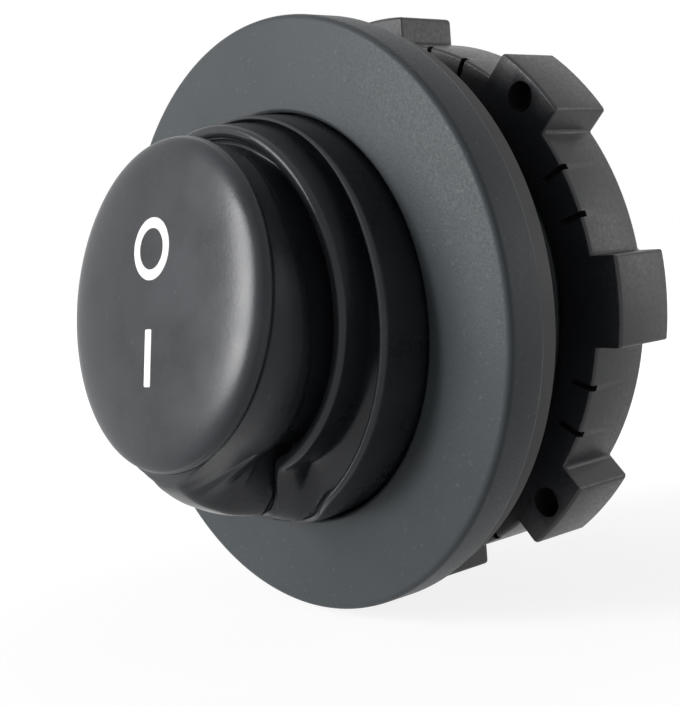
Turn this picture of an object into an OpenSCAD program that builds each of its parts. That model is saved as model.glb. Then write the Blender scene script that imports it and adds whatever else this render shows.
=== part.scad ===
// Panel rocker switch with a rubber bellows boot, for a round panel hole.
// Two poles, on and off. The face looks along -Y and the O mark is at the top (+Z).
// Every piece is drawn about the switch axis, with z = 0 on the rear face of the
// bezel flange, z forward and y up, and on_axis() then turns it to the frame.

/* [Bezel and barrel] */
// Diameter of the bezel flange
bezel_d = 40; // [38:0.5:44]
// Thickness of the bezel flange
bezel_t = 3; // [2.8:0.1:3.6]
// Rise of the bezel's face from its rim to the opening
bezel_rise = 0.4; // [0:0.1:0.8]
// Diameter of the threaded barrel
barrel_d = 30; // [29.6:0.1:30.5]
// Length of the barrel behind the flange
barrel_len = 14.5; // [14.5:0.5:20]
// Bore of the barrel
bore_d = 26.2; // [26:0.1:26.6]
// Opening that the boot stands in
opening_d = 27.4; // [27.2:0.1:28.2]

/* [Ring nut] */
// Diameter over the nut's ring
nut_d = 36.8; // [35:0.1:38]
// Diameter over the lugs
lug_d = 40.4; // [39:0.1:42]
// Width of one lug
lug_w = 5.8; // [4:0.1:7]
// Number of lugs
lug_count = 8; // [4:1:10]
// Thickness of the nut
nut_t = 4.9; // [4:0.1:5.5]
// Gap left for the panel between the gasket and the nut
panel_gap = 5.4; // [1:0.1:6]
// Turn of the nut on its thread
nut_turn = -2; // [-22:1:22]
// Angle from each lug to the notches beside it in the panel face
notch_offset = 17.4; // [12:0.1:20]

/* [Rubber boot] */
// Wall of the rubber
rubber_t = 1; // [0.8:0.1:1.1]
// Diameter of the boot where it leaves the bezel
foot_d = 26.4; // [26.2:0.1:26.8]
// Diameter over the outer fold
outer_fold_d = 27; // [26.8:0.1:27.4]
// Height of the outer fold's crest above the bezel
outer_fold_h = 3.7; // [3.2:0.1:4.2]
// Diameter over the inner fold
inner_fold_d = 22.5; // [22:0.1:23]
// Height of the inner fold's crest above the bezel
inner_fold_h = 5.1; // [4.6:0.1:5.6]
// Diameter of the cap's wall
cap_d = 20.9; // [20.2:0.1:21.2]
// Distance from the pivot to the cap's rim
cap_reach = 12; // [11.2:0.1:12.5]
// Rise of the domed face above the rim
dome_h = 0.15; // [0.1:0.05:0.8]

/* [Rocker] */
// Lean of the rocker each way from its middle
lean = 10; // [8:0.5:11]
// Height of the pivot pin above the flange's rear face
pivot_h = 1.8; // [1.6:0.1:2]
// Diameter of the pivot pin
pin_d = 2.5; // [2:0.1:3]
// Running clearance round pins and plungers
run_gap = 0.05; // [0.03:0.01:0.08]

/* [Contacts] */
// Distance of each pole from the middle
pole_x = 4.25; // [4.1:0.05:4.4]
// Reach of the plunger's tip from the pivot
plunger_reach = 9; // [8.5:0.1:9.2]
// Lean of a contact lever each way from its middle
lever_lean = 8; // [6:0.5:9]
// Distance of the contacts from the lever's pivot
contact_y = 6.6; // [6:0.1:7]
// Width of a tab terminal
tab_w = 4.8; // [2.8:0.1:4.8]
// Thickness of a tab terminal
tab_t = 0.8; // [0.5:0.1:0.8]
// Length of a tab behind the base
tab_len = 8; // [6:0.5:9]

/* [Hidden] */

eps = 0.01;
sides = [-1, 1];

// Boot outline
cap_edge = 1.2;
cap_lip = 0.3;
cap_draft = 0.45;          // the cap's wall draws in towards the folds
inner_fold_wall = 0.85;
inner_fold_shift = 1.3;
inner_fold_lean = 0.5;
outer_fold_wall = 1.1;
outer_fold_lean = 4.3;
fold_depth = 1.9;

// Seats along the axis
seat_z = 0.8;              // ledge under the boot's foot
case_rear_z = -11;         // rear of the contact case, front of the base's spigot
barrel_end_z = -barrel_len;
base_t = 2;
base_rear_z = barrel_end_z - base_t;
gasket_t = 1.5;
nut_front_z = -gasket_t - panel_gap;

// Key on the barrel and its notch in the gasket
key_w = 3;
key_rise = 1.2;
key_len = 4;

// Pivot ears and case
case_r = bore_d / 2;
ear_in_x = 8.7;
ear_out_x = 10.4;
ear_half_y = 2.4;
chamber_in_x = 1.1;
chamber_out_x = 7.4;
chamber_half_y = 9.2;
chamber_wall_top_z = -2.8;

// Clamp ring and its screws
clamp_in_r = 9.4;
clamp_step_r = 11.35;
foot_in_r = 11.45;
clamp_out_r = 12.1;
clamp_lip_t = 1;
foot_flange_t = 0.8;
screw_r = 10.35;
screw_d = 1.6;
screw_hole_d = 1.8;
screw_head_d = 3.2;
screw_head_t = 1.3;
screw_sink_d = 3.5;
screw_sink_t = 1.5;
screw_angles = [33, 147, 213, 327];

// Rocker
head_r = 8.8;
head_base_z = 4.6;
head_top_z = cap_reach - 0.9;
neck_half_x = 8.4;
neck_half_y = 3.4;
neck_low_z = -2.2;
stem_r = 2.1;
stem_end_z = -6.4;
stem_bore_r = 1.25;
spring_seat_z = -1.9;
plunger_r = stem_bore_r - run_gap;
plunger_tip_r = 1.1;
plunger_top_z = -4.9;

// Spring
spring_wire = 0.32;
spring_r = 0.9;
spring_turns = 5;
spring_steps = 12;
wire_sides = 6;

// Contact levers
lever_t = 0.6;
lever_half_x = 1.9;
lever_short_y = -5.2;
lever_long_y = 8;
lever_gap = 0.02;
lever_h = pivot_h - plunger_reach - lever_t / 2 - lever_gap;
trunnion_r = 0.5;
trunnion_out_x = 2.8;
contact_r = 1.5;
contact_t = 0.6;
cradle_in_x = 2.1;
cradle_out_x = 2.75;
cradle_half_y = 1.4;
cradle_top = 0.95;
strap_t = 0.7;
switched_y = 8;
switched_strap_y = 5;
closed_contact_z = lever_h - contact_y * sin(lever_lean)
    - (lever_t / 2 + contact_t) * cos(lever_lean) - contact_r * sin(lever_lean) - lever_gap;

// Local z along the switch axis, forward, to -Y; local y to +Z.
module on_axis() {
    rotate([90, 0, 0]) children();
}

// The rocker's own frame: origin on the pivot, leaning back at O, which is pressed in.
module in_rocker() {
    translate([0, 0, pivot_h]) rotate([-lean, 0, 0]) children();
}

// A contact lever's own frame: origin on its trunnions, leaning forward at O.
module in_lever(side) {
    translate([side * pole_x, 0, lever_h]) rotate([lever_lean, 0, 0]) children();
}

// Tube or disc between two radii and two heights.
module ring(r_in, r_out, z_low, z_high) {
    rotate_extrude($fn = 96)
        translate([r_in, z_low]) square([r_out - r_in, z_high - z_low]);
}

// Square tab or strap, centred on x.
module strap(width, y_low, y_high, z_low, z_high) {
    translate([-width / 2, y_low, z_low]) cube([width, y_high - y_low, z_high - z_low]);
}

// ---- Housing: bezel flange and barrel in one moulding ----

// Half section of the moulding, with an eased front edge and a chamfered end.
module housing_section() {
    edge = 0.5;
    lead = 0.6;
    lip_edge = 0.2;
    difference() {
        union() {
            polygon([[0, 0], [bezel_d / 2 - edge, 0], [bezel_d / 2 - edge, bezel_t],
                     [opening_d / 2, bezel_t + bezel_rise], [0, bezel_t + bezel_rise]]);
            square([bezel_d / 2, bezel_t - edge]);
            translate([bezel_d / 2 - edge, bezel_t - edge]) circle(edge, $fn = 32);
            polygon([[0, eps], [0, barrel_end_z], [barrel_d / 2 - lead, barrel_end_z],
                     [barrel_d / 2, barrel_end_z + lead], [barrel_d / 2, eps]]);
        }
        translate([-eps, barrel_end_z - eps])
            square([bore_d / 2 + eps, seat_z - barrel_end_z + eps]);
        translate([-eps, seat_z]) square([opening_d / 2 + eps, bezel_t]);
        translate([opening_d / 2 - eps, bezel_t + bezel_rise + eps])
            rotate(-90) polygon([[0, 0], [lip_edge, 0], [0, lip_edge]]);
    }
}

module housing() {
    color("dimgray") on_axis() {
        rotate_extrude($fn = 128) housing_section();
        translate([-key_w / 2, barrel_d / 2 - 0.5, -key_len]) cube([key_w, key_rise + 0.5, key_len]);
    }
}

module panel_gasket() {
    notch = 0.2;
    color("black") on_axis() difference() {
        ring(barrel_d / 2, bezel_d / 2 - 0.5, -gasket_t, 0);
        translate([-key_w / 2 - notch, barrel_d / 2 - 1, -gasket_t - 1])
            cube([key_w + 2 * notch, key_rise + 1 + notch, gasket_t + 2]);
    }
}

// ---- Ring nut: castellated ring with notches in its panel face ----

// Plan of the nut: a ring with square-sided lugs, cut off on the lug circle.
module nut_outline() {
    difference() {
        union() {
            circle(d = nut_d, $fn = 128);
            intersection() {
                circle(d = lug_d, $fn = 128);
                for (i = [0 : lug_count - 1]) rotate(i * 360 / lug_count)
                    translate([barrel_d / 2, -lug_w / 2]) square([lug_d, lug_w]);
            }
        }
        circle(d = barrel_d, $fn = 96);
    }
}

module ring_nut() {
    notch_w = 0.4;
    notch_depth = 0.5;
    notch_in_r = nut_d / 2 - 1.8;
    spanner_hole_d = 2;
    spanner_hole_depth = 2;
    color("black") on_axis() translate([0, 0, nut_front_z]) rotate(nut_turn) difference() {
        translate([0, 0, -nut_t]) linear_extrude(nut_t) nut_outline();
        for (i = [0 : lug_count - 1], side = sides) rotate(i * 360 / lug_count + side * notch_offset)
            translate([notch_in_r, -notch_w / 2, -notch_depth]) cube([4, notch_w, 1]);
        for (i = [1 : 2 : lug_count]) rotate(i * 360 / lug_count)
            translate([lug_d / 2 - spanner_hole_d / 2 - 0.5, 0, -spanner_hole_depth])
                cylinder(h = spanner_hole_depth + 1, d = spanner_hole_d, $fn = 24);
    }
}

// ---- Rubber boot: domed cap, two folds and a foot, in one moulding ----
//
// The boot is a skin lofted round a closed outline. Each station of the outline is
// [radius, height, lean, shift]: a circle whose centre is shifted towards O and whose
// plane leans back at O. The cap leans with the rocker, the foot stays square, and the
// folds between them take up the difference.

function cap_station(r, h) = [r, pivot_h + h * cos(lean), lean, h * sin(lean)];
function inner_station(r, z) = [r, z, inner_fold_lean, inner_fold_shift];
function outer_station(r, z) = [r, z, outer_fold_lean, 0];
function foot_station(r, z) = [r, z, 0, 0];
function halfway(a, b) = (a + b) / 2;

// Domed face from the middle out to the shoulder, which rounds over to the lip.
function cap_face() =
    let (wall_r = cap_d / 2, flat_r = wall_r - cap_edge, steps = 4,
         drop = cap_edge * 0.9, rim_h = cap_reach - drop)
    concat(
        [for (i = [0 : steps]) cap_station(flat_r * i / steps, cap_reach + dome_h * (1 - pow(i / steps, 2)))],
        [for (a = [67.5, 45, 22.5, 0]) cap_station(flat_r + cap_edge * cos(a), rim_h + drop * sin(a))],
        [cap_station(wall_r + cap_lip, rim_h - 0.1), cap_station(wall_r + cap_lip, rim_h - 0.45),
         cap_station(wall_r, rim_h - 0.6)]);

function crest(r_out, wall, z_top, leaning) =
    [for (a = [180 : -45 : 0])
        let (r = r_out - wall / 2 + wall / 2 * cos(a), z = z_top - wall / 2 + wall / 2 * sin(a))
        leaning ? outer_station(r, z) : inner_station(r, z)];

// Outside of the boot from the middle of the face down to the ledge.
function boot_outside() =
    let (wall_r = cap_d / 2, z1 = bezel_t + inner_fold_h, z2 = bezel_t + outer_fold_h,
         r1 = inner_fold_d / 2, r2 = outer_fold_d / 2, low_cap = cap_station(wall_r - cap_draft, 4.4),
         low_inner = inner_station(r1 - inner_fold_wall, z1 - fold_depth))
    concat(cap_face(),
        [low_cap, halfway(low_cap, low_inner) - [0, 0.35, 0, 0], low_inner],
        crest(r1, inner_fold_wall, z1, false),
        [inner_station(r1, z1 - fold_depth - 0.2), outer_station(r1 + 0.35, z2 - fold_depth),
         outer_station(r2 - outer_fold_wall - 0.15, z2 - fold_depth)],
        crest(r2, outer_fold_wall, z2, true),
        [outer_station(r2 - 0.1, z2 - 1.4), foot_station(foot_d / 2, bezel_t + 0.5), foot_station(foot_d / 2, seat_z)]);

// Inside of the boot from the ledge back up to the middle of the cap.
function boot_inside() =
    let (wall_r = cap_d / 2 - rubber_t, low_r = wall_r - cap_draft, foot_r = foot_d / 2 - rubber_t)
    [foot_station(foot_in_r, seat_z), foot_station(foot_in_r, seat_z + foot_flange_t),
     foot_station(foot_r, seat_z + foot_flange_t), foot_station(foot_r, bezel_t + 0.2),
     outer_station(foot_r - 0.5, bezel_t + 1.2), inner_station(inner_fold_d / 2 - 1.2, bezel_t + 1.7),
     cap_station(low_r, 4.2), cap_station(wall_r, head_top_z - 1.2), cap_station(wall_r - 1.2, head_top_z),
     cap_station(0, head_top_z)];

// A point of one station at an angle round the axis.
function station_point(s, a) =
    [s[0] * cos(a), s[3] + s[0] * sin(a) * cos(s[2]), s[1] - s[0] * sin(a) * sin(s[2])];

module lofted_skin(stations, around) {
    count = len(stations);
    rings = [for (i = [1 : count - 2], k = [0 : around - 1]) station_point(stations[i], 360 * k / around)];
    points = concat([station_point(stations[0], 0)], rings, [station_point(stations[count - 1], 0)]);
    last = len(points) - 1;
    bands = [for (i = [0 : count - 4], k = [0 : around - 1])
        let (a = 1 + i * around + k, b = 1 + i * around + (k + 1) % around)
        [b, a, a + around, b + around]];
    top = [for (k = [0 : around - 1]) [0, 1 + k, 1 + (k + 1) % around]];
    base = last - around;
    bottom = [for (k = [0 : around - 1]) [last, base + (k + 1) % around, base + k]];
    polyhedron(points, concat(top, bands, bottom), convexity = 10);
}

module rubber_boot() {
    color([0.16, 0.16, 0.17]) on_axis() lofted_skin(concat(boot_outside(), boot_inside()), 64);
}

// ---- Clamp ring, case, base and screws ----

module screw_holes(d, z_low, z_high) {
    for (a = screw_angles) rotate(a)
        translate([screw_r, 0, z_low]) cylinder(h = z_high - z_low, d = d, $fn = 32);
}

module boot_clamp_ring() {
    ear_gap = 0.3;
    top_z = seat_z + foot_flange_t + clamp_lip_t;
    color("silver") on_axis() difference() {
        union() {
            ring(clamp_in_r, clamp_step_r, seat_z, top_z);
            ring(clamp_in_r, clamp_out_r, seat_z + foot_flange_t, top_z);
        }
        for (side = sides) translate([side * (ear_in_x + ear_out_x) / 2, 0, seat_z])
            cube([ear_out_x - ear_in_x + 2 * ear_gap, 2 * (ear_half_y + ear_gap), 20], center = true);
        screw_holes(screw_d, seat_z - 1, top_z + 1);
    }
}

module pivot_ear(side) {
    mid_x = side * (ear_in_x + ear_out_x) / 2;
    ear_t = ear_out_x - ear_in_x;
    translate([mid_x, 0, pivot_h]) rotate([0, 90, 0])
        cylinder(h = ear_t, r = ear_half_y, center = true, $fn = 48);
    translate([mid_x - ear_t / 2, -ear_half_y, seat_z - 1])
        cube([ear_t, 2 * ear_half_y, pivot_h - seat_z + 1]);
}

module contact_case() {
    color([0.2, 0.2, 0.22]) on_axis() difference() {
        union() {
            ring(0, case_r, case_rear_z, seat_z);
            for (side = sides) pivot_ear(side);
        }
        for (side = sides) translate([side * (chamber_in_x + chamber_out_x) / 2, 0, case_rear_z])
            cube([chamber_out_x - chamber_in_x, 2 * chamber_half_y, 40], center = true);
        translate([0, 0, chamber_wall_top_z + 5]) cube([2 * chamber_out_x, 2 * chamber_half_y, 10], center = true);
        translate([0, 0, neck_low_z + 5])
            cube([2 * neck_half_x + 0.4, 2 * neck_half_y + 1.4, 10], center = true);
        rotate([0, 90, 0]) translate([-pivot_h, 0, 0])
            cylinder(h = 2 * case_r, d = pin_d, center = true, $fn = 48);
        screw_holes(screw_hole_d, case_rear_z - 1, seat_z + 1);
    }
}

module terminal_base() {
    rim_r = barrel_d / 2 - 1;
    barrier_h = 3;
    barrier_w = 1.2;
    barrier_half_y = 10;
    color([0.2, 0.2, 0.22]) on_axis() difference() {
        union() {
            ring(0, case_r, barrel_end_z, case_rear_z);
            ring(0, rim_r, base_rear_z, barrel_end_z);
            translate([-barrier_w / 2, -barrier_half_y, base_rear_z - barrier_h])
                cube([barrier_w, 2 * barrier_half_y, barrier_h + eps]);
        }
        for (side = sides) translate([side * pole_x, 0, 0]) {
            strap(tab_w, -tab_t / 2, tab_t / 2, base_rear_z - 1, case_rear_z + 1);
            strap(tab_w, switched_y - tab_t / 2, switched_y + tab_t / 2, base_rear_z - 1, case_rear_z + 1);
        }
        screw_holes(screw_hole_d, base_rear_z - 1, case_rear_z + 1);
        screw_holes(screw_sink_d, base_rear_z - 1, base_rear_z + screw_sink_t);
    }
}

module case_screw(index) {
    head_rear_z = base_rear_z + screw_sink_t - screw_head_t;
    slot_w = 0.6;
    color("silver") on_axis() rotate(screw_angles[index]) translate([screw_r, 0, head_rear_z]) difference() {
        union() {
            cylinder(h = screw_head_t, d = screw_head_d, $fn = 32);
            cylinder(h = seat_z + foot_flange_t + clamp_lip_t - head_rear_z, d = screw_d, $fn = 32);
        }
        translate([-screw_head_d, -slot_w / 2, -1]) cube([2 * screw_head_d, slot_w, 1.6]);
    }
}

// ---- Rocker and what rides in it ----

module rocker() {
    head_edge = 1.2;
    color([0.25, 0.25, 0.27]) on_axis() in_rocker() difference() {
        union() {
            translate([0, 0, head_base_z]) cylinder(h = head_top_z - head_edge - head_base_z, r = head_r, $fn = 96);
            translate([0, 0, head_top_z - head_edge])
                cylinder(h = head_edge, r1 = head_r, r2 = head_r - head_edge, $fn = 96);
            translate([-neck_half_x, -neck_half_y, neck_low_z])
                cube([2 * neck_half_x, 2 * neck_half_y, head_base_z - neck_low_z + eps]);
            for (side = sides) translate([side * pole_x, 0, stem_end_z])
                cylinder(h = neck_low_z - stem_end_z + eps, r = stem_r, $fn = 48);
        }
        for (side = sides) translate([side * pole_x, 0, stem_end_z - 1])
            cylinder(h = spring_seat_z - stem_end_z + 1, r = stem_bore_r, $fn = 48);
        rotate([0, 90, 0]) cylinder(h = 3 * neck_half_x, d = pin_d + 2 * run_gap, center = true, $fn = 48);
    }
}

module pivot_pin() {
    color("silver") on_axis() translate([0, 0, pivot_h]) rotate([0, 90, 0])
        cylinder(h = 2 * ear_out_x, d = pin_d, center = true, $fn = 48);
}

module plunger(side) {
    tip_centre_z = -plunger_reach + plunger_tip_r;
    color("goldenrod") on_axis() in_rocker() translate([side * pole_x, 0, 0]) rotate_extrude($fn = 48) {
        translate([0, tip_centre_z]) square([plunger_tip_r, 1]);
        translate([0, tip_centre_z + 0.6]) square([plunger_r, plunger_top_z - tip_centre_z - 0.6]);
        intersection() {
            translate([0, tip_centre_z]) circle(plunger_tip_r, $fn = 32);
            translate([0, tip_centre_z - plunger_tip_r]) square([plunger_tip_r, plunger_tip_r]);
        }
    }
}

// Points round the wire at one place along the helix.
function wire_ring(t, rise) = [for (k = [0 : wire_sides - 1])
    let (b = 360 * k / wire_sides, r = spring_r + spring_wire / 2 * cos(b), a = 360 * spring_turns * t)
    [r * cos(a), r * sin(a), rise * t + spring_wire / 2 * sin(b)]];

module coil_spring(length) {
    steps = spring_turns * spring_steps;
    rise = length - spring_wire;
    points = [for (i = [0 : steps]) each wire_ring(i / steps, rise)];
    skin = [for (i = [0 : steps - 1], k = [0 : wire_sides - 1])
        let (a = i * wire_sides + k, b = i * wire_sides + (k + 1) % wire_sides)
        [a, a + wire_sides, b + wire_sides, b]];
    first = [for (k = [0 : wire_sides - 1]) k];
    last = [for (k = [wire_sides - 1 : -1 : 0]) steps * wire_sides + k];
    translate([0, 0, spring_wire / 2]) polyhedron(points, concat(skin, [first, last]), convexity = 10);
}

module plunger_spring(side) {
    color("lightgray") on_axis() in_rocker() translate([side * pole_x, 0, plunger_top_z])
        coil_spring(spring_seat_z - plunger_top_z);
}

// ---- Contact levers, contacts and terminals ----

module contact_lever(side) {
    color("peru") on_axis() in_lever(side) {
        strap(2 * lever_half_x, lever_short_y, lever_long_y, -lever_t / 2, lever_t / 2);
        for (end = sides) rotate([0, 90, 0]) translate([0, 0, end * (trunnion_out_x + lever_half_x - 0.2) / 2])
            cylinder(h = trunnion_out_x - lever_half_x + 0.2, r = trunnion_r, center = true, $fn = 32);
    }
}

module moving_contact(side) {
    color("white") on_axis() in_lever(side)
        translate([0, contact_y, -lever_t / 2 - contact_t]) cylinder(h = contact_t, r = contact_r, $fn = 32);
}

module fixed_contact(side) {
    color("white") on_axis() translate([side * pole_x, contact_y, case_rear_z + strap_t])
        cylinder(h = closed_contact_z - case_rear_z - strap_t, r = contact_r, $fn = 32);
}

// Tab through the base, a strap on its front, and two ears that carry the lever.
module common_terminal(side) {
    color("gold") on_axis() translate([side * pole_x, 0, 0]) difference() {
        union() {
            strap(tab_w, -tab_t / 2, tab_t / 2, base_rear_z - tab_len, case_rear_z + eps);
            strap(2 * cradle_out_x, -cradle_half_y, cradle_half_y, case_rear_z, case_rear_z + strap_t);
            for (end = sides) translate([end * (cradle_in_x + cradle_out_x) / 2, 0, 0])
                strap(cradle_out_x - cradle_in_x, -cradle_half_y, cradle_half_y, case_rear_z, lever_h + cradle_top);
        }
        translate([0, 0, lever_h]) rotate([0, 90, 0])
            cylinder(h = 3 * cradle_out_x, r = trunnion_r + run_gap, center = true, $fn = 32);
    }
}

module switched_terminal(side) {
    color("gold") on_axis() translate([side * pole_x, 0, 0]) {
        strap(tab_w, switched_y - tab_t / 2, switched_y + tab_t / 2, base_rear_z - tab_len, case_rear_z + eps);
        strap(tab_w, switched_strap_y, switched_y + tab_t / 2, case_rear_z, case_rear_z + strap_t);
    }
}

housing();
rubber_boot();
boot_clamp_ring();
contact_case();
terminal_base();
rocker();
pivot_pin();
plunger(-1);  // plunger_left
plunger(1);  // plunger_right
plunger_spring(-1);  // spring_left
plunger_spring(1);  // spring_right
contact_lever(-1);  // lever_left
contact_lever(1);  // lever_right
moving_contact(-1);  // moving_contact_left
moving_contact(1);  // moving_contact_right
fixed_contact(-1);  // fixed_contact_left
fixed_contact(1);  // fixed_contact_right
common_terminal(-1);  // common_terminal_left
common_terminal(1);  // common_terminal_right
switched_terminal(-1);  // switched_terminal_left
switched_terminal(1);  // switched_terminal_right
case_screw(0);  // case_screw_1
case_screw(1);  // case_screw_2
case_screw(2);  // case_screw_3
case_screw(3);  // case_screw_4
panel_gasket();
ring_nut();
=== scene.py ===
"""Dresses the panel rocker switch: housing, nut, gasket, rubber boot, marks, base and tabs."""
import bpy
import math
from mathutils import Matrix, Vector


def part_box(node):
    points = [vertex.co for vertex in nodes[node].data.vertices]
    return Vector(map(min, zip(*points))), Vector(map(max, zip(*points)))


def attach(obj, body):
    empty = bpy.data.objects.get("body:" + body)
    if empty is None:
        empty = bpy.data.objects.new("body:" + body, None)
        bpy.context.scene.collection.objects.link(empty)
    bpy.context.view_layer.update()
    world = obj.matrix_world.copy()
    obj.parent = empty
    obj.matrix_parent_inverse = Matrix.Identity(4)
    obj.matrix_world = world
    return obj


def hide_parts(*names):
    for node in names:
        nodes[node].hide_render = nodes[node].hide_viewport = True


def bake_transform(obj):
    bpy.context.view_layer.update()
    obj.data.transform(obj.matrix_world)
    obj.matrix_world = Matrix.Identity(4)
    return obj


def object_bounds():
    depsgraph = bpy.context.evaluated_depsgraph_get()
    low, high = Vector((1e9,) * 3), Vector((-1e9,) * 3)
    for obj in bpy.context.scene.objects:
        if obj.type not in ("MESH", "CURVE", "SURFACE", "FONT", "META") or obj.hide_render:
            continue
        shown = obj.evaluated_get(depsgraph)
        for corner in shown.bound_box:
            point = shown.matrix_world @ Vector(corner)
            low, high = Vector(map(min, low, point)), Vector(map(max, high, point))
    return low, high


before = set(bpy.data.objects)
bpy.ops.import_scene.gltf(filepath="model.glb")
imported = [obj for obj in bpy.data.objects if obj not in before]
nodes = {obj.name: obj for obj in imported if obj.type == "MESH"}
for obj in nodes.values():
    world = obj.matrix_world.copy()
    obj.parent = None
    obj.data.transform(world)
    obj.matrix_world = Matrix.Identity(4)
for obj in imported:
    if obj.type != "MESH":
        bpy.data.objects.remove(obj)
cad_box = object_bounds()

MM = 0.001


def place(x, y, z):
    """A point about the switch axis (x right, y up to O, z forward, in mm) in the row frame."""
    return Vector((x, -z, y)) * MM


def span(node, axis):
    """Lowest and highest coordinate of a CAD node along the switch's own x, y or z, in mm."""
    low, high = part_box(node)
    if axis == "x":
        return low[0] / MM, high[0] / MM
    if axis == "y":
        return low[2] / MM, high[2] / MM
    return -high[1] / MM, -low[1] / MM


# ---------------------------------------------------------------- sizes from the frame
housing_rear, bezel_lip = span("housing", "z")
bezel_r = span("housing", "x")[1]
bezel_face = 3.0
gasket_rear = span("panel_gasket", "z")[0]
nut_rear, nut_front = span("ring_nut", "z")
ring_step = span("boot_clamp_ring", "z")[0]

# Sizes that the frame's boxes don't give, as in the part's source
barrel_r = 15.0
bore_r = 13.1
opening_r = 13.7
bezel_rise = 0.4
nut_r = 18.4
lug_r = 20.2
lug_w = 5.8
lug_count = 8
nut_turn = -2.0
notch_offset = 17.4
pivot_h = 1.8
lean = 10.0
cap_r = 10.55
cap_reach = 12.0
dome_h = 0.18
cap_drop = 1.1


# ---------------------------------------------------------------- mesh helpers
def make(name, verts, faces, body, material, replaces=(), sharp=35, ride=True):
    mesh = bpy.data.meshes.new(name)
    mesh.from_pydata([place(*v) for v in verts], [], faces)
    mesh.validate()
    mesh.shade_smooth()
    if sharp:
        mesh.set_sharp_from_angle(angle=math.radians(sharp))
    obj = bpy.data.objects.new(name, mesh)
    bpy.context.scene.collection.objects.link(obj)
    obj.data.materials.append(material)
    if replaces:
        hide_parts(*replaces)
    if ride:
        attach(obj, body)
    return obj


def modifier(obj, kind, **values):
    mod = obj.modifiers.new(kind.title(), kind)
    for key, value in values.items():
        setattr(mod, key, value)


def bevel(obj, width, segments=2, angle=30):
    modifier(obj, "BEVEL", width=width * MM, segments=segments, limit_method="ANGLE",
             angle_limit=math.radians(angle), use_clamp_overlap=True, harden_normals=False)


def apply_modifiers(obj, sharp=35):
    """Bakes the modifiers into the mesh, so that its booleans and bevels are kept in it as they are."""
    graph = bpy.context.evaluated_depsgraph_get()
    mesh = bpy.data.meshes.new_from_object(obj.evaluated_get(graph))
    obj.modifiers.clear()
    obj.data = mesh
    mesh.shade_smooth()
    mesh.set_sharp_from_angle(angle=math.radians(sharp))


def join(parts):
    """One vertex and face list from several."""
    verts, faces = [], []
    for v, f in parts:
        start = len(verts)
        verts += v
        faces += [tuple(i + start for i in face) for face in f]
    return verts, faces


def rounded(points, radii, steps=5):
    """A polyline of n-vectors with its corners rounded; radius 0 keeps a corner sharp."""
    out = []
    for i, p in enumerate(points):
        r = radii[i]
        if r <= 0 or i in (0, len(points) - 1):
            out.append(tuple(p))
            continue
        a, b = points[i - 1], points[i + 1]
        la = math.dist(a[:2], p[:2])
        lb = math.dist(b[:2], p[:2])
        ta, tb = min(0.5, r / la), min(0.5, r / lb)
        start = [q + (s - q) * ta for s, q in zip(a, p)]
        end = [q + (s - q) * tb for s, q in zip(b, p)]
        for k in range(steps + 1):
            t = k / steps
            out.append(tuple((1 - t) ** 2 * s + 2 * t * (1 - t) * q + t * t * e
                             for s, q, e in zip(start, p, end)))
    return out


def lathe(profile, around=192, closed=True):
    """Revolves (r, z) points about the switch axis. An open profile ends on the axis."""
    verts, faces, rows = [], [], []
    for r, z in profile:
        if r < 1e-6:
            rows.append([len(verts)] * around)
            verts.append((0, 0, z))
        else:
            rows.append(list(range(len(verts), len(verts) + around)))
            verts += [(r * math.cos(2 * math.pi * k / around), r * math.sin(2 * math.pi * k / around), z)
                      for k in range(around)]
    pairs = list(zip(rows, rows[1:] + rows[:1])) if closed else list(zip(rows, rows[1:]))
    for a, b in pairs:
        for k in range(around):
            n = (k + 1) % around
            face = [a[k], b[k], b[n], a[n]]
            face = [v for i, v in enumerate(face) if v not in face[:i]]
            if len(face) > 2:
                faces.append(tuple(face))
    return verts, faces


def box_mesh(x0, x1, y0, y1, z0, z1):
    v = [(x, y, z) for z in (z0, z1) for y in (y0, y1) for x in (x0, x1)]
    f = [(0, 2, 3, 1), (4, 5, 7, 6), (0, 1, 5, 4), (2, 6, 7, 3), (0, 4, 6, 2), (1, 3, 7, 5)]
    return v, f


# ---------------------------------------------------------------- materials
def material(name, colour, rough, metal=0.0, **sockets):
    mat = bpy.data.materials.new(name)
    mat.use_nodes = True
    shader = mat.node_tree.nodes["Principled BSDF"]
    shader.inputs["Base Color"].default_value = (*colour, 1)
    shader.inputs["Roughness"].default_value = rough
    shader.inputs["Metallic"].default_value = metal
    for key, value in sockets.items():
        shader.inputs[key.replace("_", " ")].default_value = value
    return mat


def node(mat, kind, **values):
    n = mat.node_tree.nodes.new(kind)
    for key, value in values.items():
        if key in n.inputs:
            n.inputs[key].default_value = value
        else:
            setattr(n, key, value)
    return n


def noise(mat, scale, detail=3.0, rough=0.55, stretch=None):
    """Noise over the object's own coordinates; scale is in features per metre."""
    coord = node(mat, "ShaderNodeTexCoord")
    tex = node(mat, "ShaderNodeTexNoise")
    tex.inputs["Scale"].default_value = scale
    tex.inputs["Detail"].default_value = detail
    tex.inputs["Roughness"].default_value = rough
    source = coord.outputs["Object"]
    if stretch:
        mapping = node(mat, "ShaderNodeMapping")
        mapping.inputs["Scale"].default_value = stretch
        mat.node_tree.links.new(source, mapping.inputs["Vector"])
        source = mapping.outputs["Vector"]
    mat.node_tree.links.new(source, tex.inputs["Vector"])
    return tex


def ramp(mat, source, low, high, low_at=0.3, high_at=0.7):
    """Maps a grey value onto a colour or grey between two ends."""
    n = node(mat, "ShaderNodeValToRGB")
    a, b = n.color_ramp.elements
    a.position, b.position = low_at, high_at
    a.color, b.color = [(*v, 1) if isinstance(v, tuple) else (v, v, v, 1) for v in (low, high)]
    mat.node_tree.links.new(source, n.inputs["Fac"])
    return n.outputs["Color"]


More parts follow.
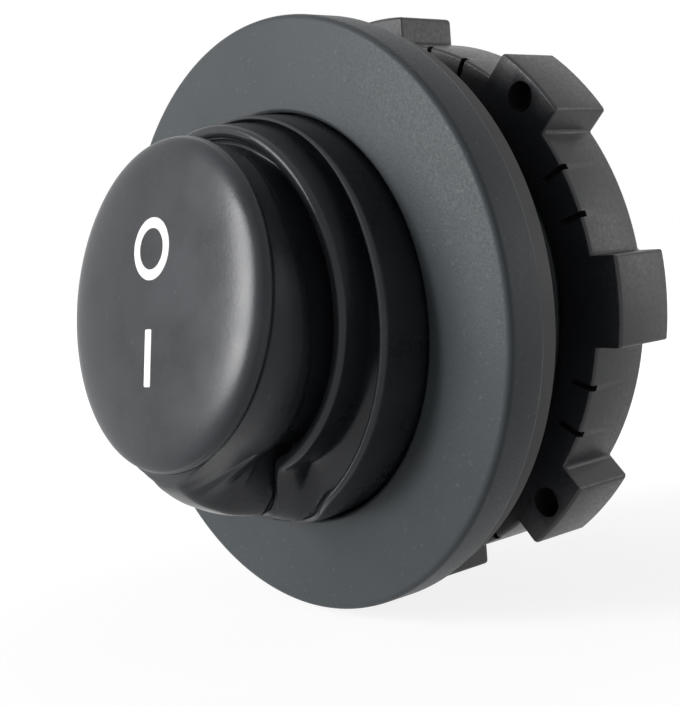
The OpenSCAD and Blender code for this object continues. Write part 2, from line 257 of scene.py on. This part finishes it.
def mix(mat, fac, a, b, kind="MIX"):
    n = node(mat, "ShaderNodeMix", data_type="RGBA", blend_type=kind)
    links = mat.node_tree.links
    ins = {s.identifier: s for s in n.inputs}
    for key, value in (("Factor_Float", fac), ("A_Color", a), ("B_Color", b)):
        if isinstance(value, (int, float)):
            ins[key].default_value = value
        elif isinstance(value, tuple):
            ins[key].default_value = (*value, 1)
        else:
            links.new(value, ins[key])
    return {s.identifier: s for s in n.outputs}["Result_Color"]


def wire(mat, source, socket):
    mat.node_tree.links.new(source, mat.node_tree.nodes["Principled BSDF"].inputs[socket])


def bump(mat, *layers):
    """Bump from (height, distance in metres, strength) layers, chained."""
    last = None
    for height, distance, strength in layers:
        n = node(mat, "ShaderNodeBump")
        n.inputs["Distance"].default_value = distance
        n.inputs["Strength"].default_value = strength
        mat.node_tree.links.new(height, n.inputs["Height"])
        if last:
            mat.node_tree.links.new(last.outputs["Normal"], n.inputs["Normal"])
        last = n
    wire(mat, last.outputs["Normal"], "Normal")


def moulded(name, colour, rough, grain=5200, grain_depth=0.00002, speck=0.0, blotch=0.08, **sockets):
    """Moulded plastic: fine spark-eroded grain, faint cloudiness, small pale specks."""
    mat = material(name, colour, rough, **sockets)
    fine = noise(mat, grain, 4)
    cloud = noise(mat, 160, 3)
    dark = tuple(c * (1 - blotch) for c in colour)
    light = tuple(c * (1 + blotch) for c in colour)
    base = ramp(mat, cloud.outputs["Fac"], dark, light)
    if speck:
        dust = noise(mat, 3000, 2, 0.4)
        mask = ramp(mat, dust.outputs["Fac"], 0.0, 1.0, 0.68, 0.74)
        base = mix(mat, mask, base, tuple(min(1, c + speck) for c in colour))
    wire(mat, base, "Base Color")
    wire(mat, ramp(mat, fine.outputs["Fac"], rough - 0.07, rough + 0.08), "Roughness")
    bump(mat, (fine.outputs["Fac"], grain_depth, 0.6), (cloud.outputs["Fac"], 0.00004, 0.15))
    return mat


def rubber(name, colour, rough, **sockets):
    """Moulded rubber: smooth skin with a faint bloom in it and the odd grain of dust."""
    mat = material(name, colour, rough, **sockets)
    fine = noise(mat, 3800, 4)
    bloom = noise(mat, 210, 5, 0.6)
    base = ramp(mat, bloom.outputs["Fac"], tuple(c * 0.8 for c in colour), tuple(c * 1.25 for c in colour))
    dust = noise(mat, 2800, 2, 0.4)
    mask = ramp(mat, dust.outputs["Fac"], 0.0, 1.0, 0.72, 0.78)
    base = mix(mat, mask, base, tuple(c + 0.03 for c in colour))
    wire(mat, base, "Base Color")
    wire(mat, ramp(mat, bloom.outputs["Fac"], rough - 0.04, rough + 0.06), "Roughness")
    bump(mat, (fine.outputs["Fac"], 0.000012, 0.5), (bloom.outputs["Fac"], 0.00005, 0.12))
    return mat


def metal(name, colour, rough, stretch=(1, 1, 14), tarnish=0.08):
    """Worked metal: fine drawn lines one way, with dull patches."""
    mat = material(name, colour, rough, 1.0)
    lines = noise(mat, 2600, 3, 0.6, stretch)
    patch = noise(mat, 420, 4)
    base = ramp(mat, patch.outputs["Fac"], tuple(c * (1 - tarnish) for c in colour), colour)
    wire(mat, base, "Base Color")
    wire(mat, ramp(mat, lines.outputs["Fac"], rough - 0.08, rough + 0.12), "Roughness")
    bump(mat, (lines.outputs["Fac"], 0.000008, 0.5))
    return mat


bezel_mat = moulded("bezel_plastic", (0.041, 0.048, 0.052), 0.46, speck=0.025, Specular_IOR_Level=0.2)
nut_mat = moulded("nut_plastic", (0.013, 0.014, 0.017), 0.4, grain=3600)
case_mat = moulded("case_plastic", (0.02, 0.02, 0.023), 0.5, grain=4400)
rocker_mat = moulded("rocker_plastic", (0.035, 0.035, 0.04), 0.42)
boot_mat = rubber("boot_rubber", (0.02, 0.022, 0.026), 0.28, Specular_IOR_Level=0.3)
gasket_mat = rubber("gasket_rubber", (0.015, 0.015, 0.016), 0.6)
steel_mat = metal("steel", (0.56, 0.57, 0.58), 0.3)
brass_mat = metal("brass", (0.78, 0.6, 0.3), 0.3)
copper_mat = metal("copper", (0.86, 0.5, 0.33), 0.32)
silver_mat = metal("silver", (0.88, 0.88, 0.86), 0.26)
white_mat = material("mark_white", (0.86, 0.87, 0.88), 0.45)
ink = noise(white_mat, 900, 4)
wire(white_mat, ramp(white_mat, ink.outputs["Fac"], (0.8, 0.81, 0.82), (0.9, 0.9, 0.9)), "Base Color")
bump(white_mat, (ink.outputs["Fac"], 0.00002, 0.2))


# ---------------------------------------------------------------- housing
def housing():
    """Bezel flange and threaded barrel, revolved, with the thread cut as a helix."""
    pitch, depth, run_out = 1.5, 0.75, 0.8
    thread_front, thread_rear = gasket_rear, housing_rear + 0.5
    outer = rounded(
        [(barrel_r - 0.1, gasket_rear), (barrel_r, 0), (bezel_r, 0), (bezel_r, bezel_face),
         (opening_r + 0.2, bezel_lip), (opening_r, bezel_lip - 0.2), (opening_r, ring_step),
         (bore_r, ring_step), (bore_r, housing_rear), (barrel_r - 0.6, housing_rear),
         (barrel_r - 0.1, housing_rear + 0.5)],
        [0, 0, 0.35, 0.45, 0.12, 0.12, 0.1, 0.1, 0.15, 0.1, 0], 6)
    flange = lathe(outer, 256, closed=False)
    around, per_turn = 256, 10
    rows = int((thread_front - thread_rear) / pitch * per_turn)
    verts, faces = [], []
    for i in range(rows + 1):
        z = thread_rear + (thread_front - thread_rear) * i / rows
        fade = min(1, (z - thread_rear) / run_out, (thread_front - z) / run_out)
        for k in range(around):
            a = 2 * math.pi * k / around
            phase = ((z / pitch) - k / around) % 1
            groove = max(0, min(1, 2.6 * (0.42 - abs(phase - 0.5))))
            r = barrel_r - 0.1 - depth * groove * max(0, fade)
            verts.append((r * math.cos(a), r * math.sin(a), z))
    for i in range(rows):
        for k in range(around):
            n = (k + 1) % around
            faces.append((i * around + k, i * around + n, (i + 1) * around + n, (i + 1) * around + k))
    flipped = [f[::-1] for f in flange[1]]
    verts, faces = join([(flange[0], flipped), (verts, faces)])
    make("housing_shell", verts, faces, "housing", bezel_mat, ["housing"], 32)


def barrel_key():
    """The key that keeps the switch from turning in its panel, sunk a little into the barrel."""
    half_width, sunk, height, rear, front = 1.5, 0.5, 1.2, -4, -0.02
    v, f = box_mesh(-half_width, half_width, barrel_r - sunk, barrel_r + height, rear, front)
    obj = make("barrel_key", v, f, "housing", bezel_mat)
    bevel(obj, 0.2, 3)


housing()
barrel_key()


# ---------------------------------------------------------------- ring nut
def ring_nut():
    """Castellated ring: outline points from a lug-shaped radius, one section at each."""
    half = lug_w / 2
    outline = []
    for i in range(lug_count):
        middle = 2 * math.pi * i / lug_count
        foot = math.asin(half / nut_r)
        head = math.asin(half / lug_r)
        gap = 2 * math.pi / lug_count - 2 * foot
        outline += [(middle - foot, nut_r)]
        outline += [(middle - head + 2 * head * k / 8, lug_r) for k in range(9)]
        outline += [(middle + foot, nut_r)]
        outline += [(middle + foot + gap * k / 14, nut_r) for k in range(1, 14)]
    inner, ease = barrel_r, 0.6
    z0, z1 = nut_rear, nut_front
    verts, faces = [], []
    for a, r in outline:
        a += math.radians(nut_turn)
        c, s = math.cos(a), math.sin(a)
        section = ((inner, z1 - ease), (inner + ease, z1), (r, z1),
                   (r, z0), (inner + ease, z0), (inner, z0 + ease))
        verts += [(radius * c, radius * s, z) for radius, z in section]
    count = len(outline)
    for i in range(count):
        n = (i + 1) % count
        for k in range(6):
            m = (k + 1) % 6
            faces.append((i * 6 + k, i * 6 + m, n * 6 + m, n * 6 + k))
    obj = make("ring_nut_body", verts, faces, "housing", nut_mat, ["ring_nut"], 30, ride=False)
    bevel(obj, 0.22, 3, 40)
    slit_w, slit_depth, hole_r, hole_depth = 0.4, 0.5, 1.0, 2
    cutters = []
    for i in range(lug_count):
        lug_at = nut_turn + i * 360 / lug_count
        for side in (-1, 1):
            cutters.append(cutter_box(nut_r - 1.8, nut_r + 2.4, slit_w, z1 - slit_depth, z1 + 1,
                                      lug_at + side * notch_offset))
        if i % 2:
            cutters.append(cutter_disc(lug_r - 1.5, hole_r, z1 - hole_depth, z1 + 1, lug_at))
    verts, faces = join(cutters)
    tool = make("nut_cutter", verts, faces, "housing", nut_mat, ride=False)
    modifier(obj, "BOOLEAN", object=tool, operation="DIFFERENCE", solver="EXACT")
    apply_modifiers(obj, 32)
    bpy.data.objects.remove(tool)
    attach(obj, "housing")


def turned(verts, degrees):
    a = math.radians(degrees)
    c, s = math.cos(a), math.sin(a)
    return [(x * c - y * s, x * s + y * c, z) for x, y, z in verts]


def cutter_box(r0, r1, width, z0, z1, degrees):
    v, f = box_mesh(r0, r1, -width / 2, width / 2, z0, z1)
    return turned(v, degrees), f


def cutter_disc(radius, r, z0, z1, degrees, around=32):
    v = [(radius + r * math.cos(2 * math.pi * k / around), r * math.sin(2 * math.pi * k / around), z)
         for z in (z0, z1) for k in range(around)]
    f = [tuple(range(around))[::-1], tuple(range(around, 2 * around))]
    f += [(k, (k + 1) % around, around + (k + 1) % around, around + k) for k in range(around)]
    return turned(v, degrees), f


ring_nut()


# ---------------------------------------------------------------- rubber boot
def cap_at(r, h):
    t = math.radians(lean)
    return (r, pivot_h + h * math.cos(t), lean, h * math.sin(t))


def face_height(r):
    """Height of the cap's face over the pivot, softly rounded over its rim."""
    flat, soft = 3.4, 2.4
    return cap_reach + dome_h - cap_drop * (1 - (1 - min(1.0, r / cap_r) ** flat) ** (1 / soft))


def boot_stations():
    """Outside and inside of the boot: each station is radius, height, lean, shift towards O.

    The outside comes three times: as it runs round the sides; drawn out at the raised I end, where
    the skirt flares and swallows both folds; and pressed together at the O end. Each station also
    carries the two angles from the I end between which the side goes over to the drawn-out form.
    """
    face_radii = [cap_r * math.sin(math.pi / 2 * k / 26) for k in range(27)]
    face = [cap_at(r, face_height(r)) for r in face_radii]
    rim = face_height(cap_r)
    z1, z2 = bezel_face + 5.1, bezel_face + 3.7

    def inner(r, z, lean=-0.8):
        return (r, z, lean, 1.5)

    def outer(r, z, lean=3.4):
        return (r, z, lean, 0.0)

    def foot(r, z):
        return (r, z, 0.0, 0.0)

    lip = [cap_at(cap_r + 0.08, rim - 0.1), cap_at(cap_r + 0.1, rim - 0.4)]
    r1, w1, r2 = 11.5, 0.9, 13.5
    # The cap's side runs down to a waist level with the bezel, then is undercut to the inner fold
    waist, undercut = 9.5, 0.75
    side = [cap_at(cap_r - 0.1, rim - 0.55), (cap_r - 0.15, waist + 1.2, 3.5, 1.6),
            (cap_r - 0.25, waist, -3.7, 1.4), (cap_r - 0.25 - undercut, waist - 0.7, -3, 1.4),
            (cap_r - 0.35 - undercut, waist - 2.9, -2, 1.4)]
    side += [inner(10.0, z1 - 2.2), inner(r1 - w1, z1 - 2.2), inner(r1 - w1, z1), inner(r1, z1),
             inner(r1 + 0.05, z1 - 2.4), outer(11.8, z2 - 1.9, 1.0), outer(r2 - 0.7, z2 - 1.9, 1.0),
             outer(r2 - 0.5, z2), outer(r2, z2), outer(13.5, z2 - 1.5), foot(13.45, bezel_face + 0.5)]
    drawn = [foot(9.1, 14.1), foot(9.7, 13.9), foot(10.9, 12.5), foot(12.05, 10.2), foot(12.5, 8.2)]
    drawn += [foot(12.55, 7.45), foot(12.1, 7.3), foot(12.6, 7.1), foot(12.95, 6.6),
              foot(13.35, 5.7), foot(13.45, 5.2), foot(13.1, 5.0),
              foot(13.58, 4.9), foot(13.68, 4.6), foot(13.7, 4.2), foot(13.66, bezel_face + 0.6)]
    pressed = [cap_at(cap_r - 0.1, rim - 0.55), (cap_r - 0.1, 9.6, 2, 1.5), (cap_r - 0.1, 9.1, 0, 1.5)]
    pressed += [(cap_r - 0.2, 8.6, -0.5, 1.5), (cap_r - 0.35, 8.0, -0.8, 1.5)]
    pressed += [inner(10.2, z1 - 0.5), inner(10.55, z1 - 0.5), inner(10.75, z1), inner(r1, z1),
                inner(11.6, z1 - 2.0), outer(13.1, z2 - 1.1), outer(13.2, z2 - 1.1),
                outer(13.25, z2 - 0.2), outer(13.55, z2 - 0.1), outer(13.6, z2 - 1.5),
                foot(13.6, bezel_face + 0.5)]
    reach = [(6, 40), (6, 32)] + [(4.5, 20)] * 7 + [(5, 24), (8, 23), (8, 23), (7, 36), (7, 36), (8, 36), (8, 28)]
    radii = [0.18, 0.18, 0.2, 0.6, 0.8, 0.8, 0.5, 0.6, 0.4, 0.4, 0.43, 0.43, 0.6, 0.5, 0.5, 0.5, 0.55, 0.7, 0.3, 0]
    even = (8, 44)
    sides = []
    for walls in (side, drawn, pressed):
        line = [p + q for p, q in zip(walls, reach)]
        line = [p + even for p in [face[-1]] + lip] + line + [foot(13.45, ring_step) + (8, 24)]
        bend = rounded(line, [0] + radii, 5)
        sides.append([p + even for p in face[:-1]] + bend)
    inside = [foot(11.45, ring_step), foot(11.45, ring_step + 0.8), foot(12.2, ring_step + 0.8),
              foot(12.2, bezel_face + 0.2), outer(11.7, bezel_face + 1.2), inner(10.05, bezel_face + 1.7),
              cap_at(cap_r - 1.4, 4.2), cap_at(cap_r - 1, cap_reach - 2.1), cap_at(cap_r - 2.2, cap_reach - 0.9),
              cap_at(0, cap_reach - 0.9)]
    inside = [p + even for p in inside]
    return [outside + inside for outside in sides]


def station_point(s, a):
    """The point of a station's circle at angle a."""
    t = math.radians(s[2])
    return Vector((s[0] * math.cos(a), s[3] + s[0] * math.sin(a) * math.cos(t),
                   s[1] - s[0] * math.sin(a) * math.sin(t)))


def smoothstep(t):
    t = max(0.0, min(1.0, t))
    return t * t * (3 - 2 * t)


def loft(side, drawn, pressed):
    """A skin over the stations, with closer slices round the I end, where the folds run out."""
    turn = [-60 + 1.5 * k for k in range(201)] + [-120 + 0.5 * k for k in range(1, 120)]
    o_reach, o_fade = 75, 50
    around = len(turn)
    verts, rows, faces = [], [], []
    for s, d, p in zip(side, drawn, pressed):
        if s[0] < 1e-6:
            rows.append([len(verts)] * around)
            verts.append(station_point(s, 0))
            continue
        rows.append(list(range(len(verts), len(verts) + around)))
        for angle in turn:
            a = math.radians(angle)
            from_i = abs((angle + 270) % 360 - 180)
            near_i = smoothstep((s[5] - from_i) / (s[5] - s[4]))
            near_o = smoothstep((o_reach - (180 - from_i)) / o_fade)
            part_way = station_point(s, a).lerp(station_point(p, a), near_o)
            verts.append(part_way.lerp(station_point(d, a), near_i))
    for a, b in zip(rows, rows[1:]):
        for k in range(around):
            n = (k + 1) % around
            face = [a[n], a[k], b[k], b[n]]
            face = [v for i, v in enumerate(face) if v not in face[:i]]
            faces.append(tuple(face))
    return verts, faces


def boot():
    verts, faces = loft(*boot_stations())
    obj = make("boot_moulding", verts, faces, "rocker", boot_mat, ["rubber_boot"], 0, ride=False)
    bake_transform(obj)


boot()


# ---------------------------------------------------------------- O and I marks
def on_dome(x, y, lift):
    """A point of the domed face, x and y in the cap's own plane, as switch-axis millimetres."""
    h = face_height(math.hypot(x, y)) + lift
    t = math.radians(lean)
    return (x, y * math.cos(t) + h * math.sin(t), pivot_h - y * math.sin(t) + h * math.cos(t))


def mark(loops):
    """A raised print: rows of (x, y) loops on the dome, its rim turned down into the rubber."""
    verts, faces = [], []
    count = len(loops[0][0])
    for loop, lift in loops:
        verts += [on_dome(x, y, lift) for x, y in loop]
    for i in range(len(loops) - 1):
        for k in range(count):
            n = (k + 1) % count
            faces.append((i * count + k, i * count + n, (i + 1) * count + n, (i + 1) * count + k))
    return verts, faces


def mark_o(centre_y, outer_r, inner_r):
    around = 96

    def ring(r):
        turn = [2 * math.pi * k / around for k in range(around)]
        return [(r * math.cos(a), centre_y + r * math.sin(a)) for a in turn]

    rows = [(ring(inner_r), -0.05), (ring(inner_r + 0.03), 0.02)]
    rows += [(ring(inner_r + 0.03 + (outer_r - inner_r - 0.06) * k / 5), 0.025) for k in range(1, 5)]
    rows += [(ring(outer_r - 0.03), 0.02), (ring(outer_r), -0.05)]
    verts, faces = mark(rows)
    make("mark_o", verts, [f[::-1] for f in faces], "rocker", white_mat, sharp=0)


def mark_i(centre_y, length, width):
    corner, around = 0.12, 8
    loop = []
    for cx, cy, start in ((1, 1, 0), (-1, 1, 90), (-1, -1, 180), (1, -1, 270)):
        for k in range(around + 1):
            a = math.radians(start + 90 * k / around)
            loop.append((cx * (width / 2 - corner) + corner * math.cos(a),
                         cy * (length / 2 - corner) + corner * math.sin(a)))

    def inset(d):
        return [(x * (1 - 2 * d / width), centre_y + y * (1 - 2 * d / length)) for x, y in loop]

    rows = [(inset(0), -0.05), (inset(0.03), 0.02), (inset(0.15), 0.025), (inset(0.3), 0.025)]
    verts, faces = mark(rows)
    last, count = len(verts) - len(loop), len(loop)
    verts.append(on_dome(0, centre_y, 0.025))
    faces += [(last + k, last + (k + 1) % count, len(verts) - 1) for k in range(count)]
    make("mark_i", verts, faces, "rocker", white_mat, sharp=0)


mark_from_middle = 3.42
mark_o(mark_from_middle, 2.0, 1.28)
mark_i(-mark_from_middle, 3.65, 0.75)


# ---------------------------------------------------------------- CAD nodes that stay, with materials
kinds = {
    "boot_clamp_ring": steel_mat, "contact_case": case_mat, "terminal_base": case_mat, "rocker": rocker_mat,
    "pivot_pin": steel_mat, "panel_gasket": gasket_mat,
}
eased = {"terminal_base": 0.25, "contact_case": 0.2, "panel_gasket": 0.12}
eased.update({name: 0.12 for name in nodes if name.startswith(("common_terminal", "switched_terminal"))})
eased.update({name: 0.15 for name in nodes if name.startswith("case_screw")})
for name, obj in nodes.items():
    mat = kinds.get(name)
    if name.startswith(("plunger", "common", "switched")):
        mat = brass_mat
    elif name.startswith(("spring", "case_screw")):
        mat = steel_mat
    elif name.startswith("lever"):
        mat = copper_mat
    elif name.startswith(("moving_contact", "fixed_contact")):
        mat = silver_mat
    if mat:
        obj.data.materials.clear()
        obj.data.materials.append(mat)
    if name in eased:
        bevel(obj, eased[name], 2, 40)


# ---------------------------------------------------------------- camera, light, floor
def camera():
    """The picture's own view of the part, square to a point a little off the bezel's middle."""
    lens_mm = 69.670588
    azimuth, elevation, roll = (math.radians(v) for v in (49.5, 4.1, -5.9))
    distance, right_by, up_by = 89.07, 3.54, -2.335
    back = Vector((math.cos(elevation) * math.sin(azimuth), -math.cos(elevation) * math.cos(azimuth),
                   math.sin(elevation)))
    level = Vector((math.cos(azimuth), math.sin(azimuth), 0))
    up = back.cross(level)
    right = level * math.cos(roll) + up * math.sin(roll)
    up = back.cross(right)
    data = bpy.data.cameras.new("camera")
    data.sensor_fit = "HORIZONTAL"
    data.sensor_width = 36
    data.lens = lens_mm
    data.clip_start = 0.005
    obj = bpy.data.objects.new("camera", data)
    bpy.context.scene.collection.objects.link(obj)
    spot = place(0, 0, bezel_face) + (back * distance + right * right_by + up * up_by) * MM
    obj.matrix_world = Matrix.Translation(spot) @ Matrix((right, up, back)).transposed().to_4x4()
    bpy.context.scene.camera = obj


def lamp(name, spot, size, power, target=(0, 0, 0)):
    data = bpy.data.lights.new(name, "AREA")
    data.shape = "RECTANGLE"
    data.size, data.size_y = size
    data.energy = power
    obj = bpy.data.objects.new(name, data)
    bpy.context.scene.collection.objects.link(obj)
    obj.location = spot
    obj.rotation_euler = (Vector(spot) - Vector(target)).to_track_quat("Z", "Y").to_euler()


def seen_straight(tree):
    """1 for rays from the camera, and for those seen in gloss or through glass; 0 for other light."""
    path = tree.nodes.new("ShaderNodeLightPath")
    total = path.outputs["Is Camera Ray"]
    for name in ("Is Glossy Ray", "Is Transmission Ray"):
        larger = tree.nodes.new("ShaderNodeMath")
        larger.operation = "MAXIMUM"
        tree.links.new(total, larger.inputs[0])
        tree.links.new(path.outputs[name], larger.inputs[1])
        total = larger.outputs[0]
    return total


def blend_shaders(tree, fac, first, second, out):
    shader_mix = tree.nodes.new("ShaderNodeMixShader")
    tree.links.new(fac, shader_mix.inputs["Fac"])
    tree.links.new(first, shader_mix.inputs[1])
    tree.links.new(second, shader_mix.inputs[2])
    tree.links.new(shader_mix.outputs["Shader"], tree.nodes[out].inputs["Surface"])


def studio():
    """A plain soft light round the part, and a white backdrop and floor."""
    scene = bpy.context.scene
    scene.view_settings.view_transform = "Standard"
    world = bpy.data.worlds.new("studio")
    scene.world = world
    world.use_nodes = True
    tree = world.node_tree
    light = tree.nodes["Background"]
    light.inputs["Color"].default_value = (0.94, 0.97, 1, 1)
    light.inputs["Strength"].default_value = 0.13
    white = tree.nodes.new("ShaderNodeBackground")
    white.inputs["Color"].default_value = (1, 1, 1, 1)
    white.inputs["Strength"].default_value = 1.0
    blend_shaders(tree, seen_straight(tree), light.outputs[0], white.outputs[0], "World Output")

    floor_z = cad_box[0][2] - 0.0005
    size = 1.2
    mesh = bpy.data.meshes.new("floor")
    corners = ((-size, -size), (size, -size), (size, size), (-size, size))
    mesh.from_pydata([(x, y, floor_z) for x, y in corners], [], [(0, 1, 2, 3)])
    floor = bpy.data.objects.new("floor", mesh)
    scene.collection.objects.link(floor)
    mat = material("floor_white", (0.9, 0.9, 0.9), 0.9)
    tree = mat.node_tree
    glow = tree.nodes.new("ShaderNodeEmission")
    glow.inputs["Strength"].default_value = 1.18
    apart = node(mat, "ShaderNodeVectorMath", operation="LENGTH")
    tree.links.new(node(mat, "ShaderNodeTexCoord").outputs["Object"], apart.inputs[0])
    share = node(mat, "ShaderNodeMapRange")
    for key, value in (("From Min", 0.03), ("From Max", 0.12), ("To Min", 0.72), ("To Max", 1.0)):
        share.inputs[key].default_value = value
    tree.links.new(apart.outputs["Value"], share.inputs["Value"])
    part = node(mat, "ShaderNodeMath", operation="MULTIPLY")
    tree.links.new(seen_straight(tree), part.inputs[0])
    tree.links.new(share.outputs["Result"], part.inputs[1])
    plain = tree.nodes["Principled BSDF"].outputs[0]
    blend_shaders(tree, part.outputs[0], plain, glow.outputs[0], "Material Output")
    mesh.materials.append(mat)


camera()
studio()
lamp("key", (-0.21, -0.43, 0.11), (0.18, 0.36), 3.5)
lamp("rim", (0.30, 0.33, 0.04), (0.2, 0.3), 0.35)
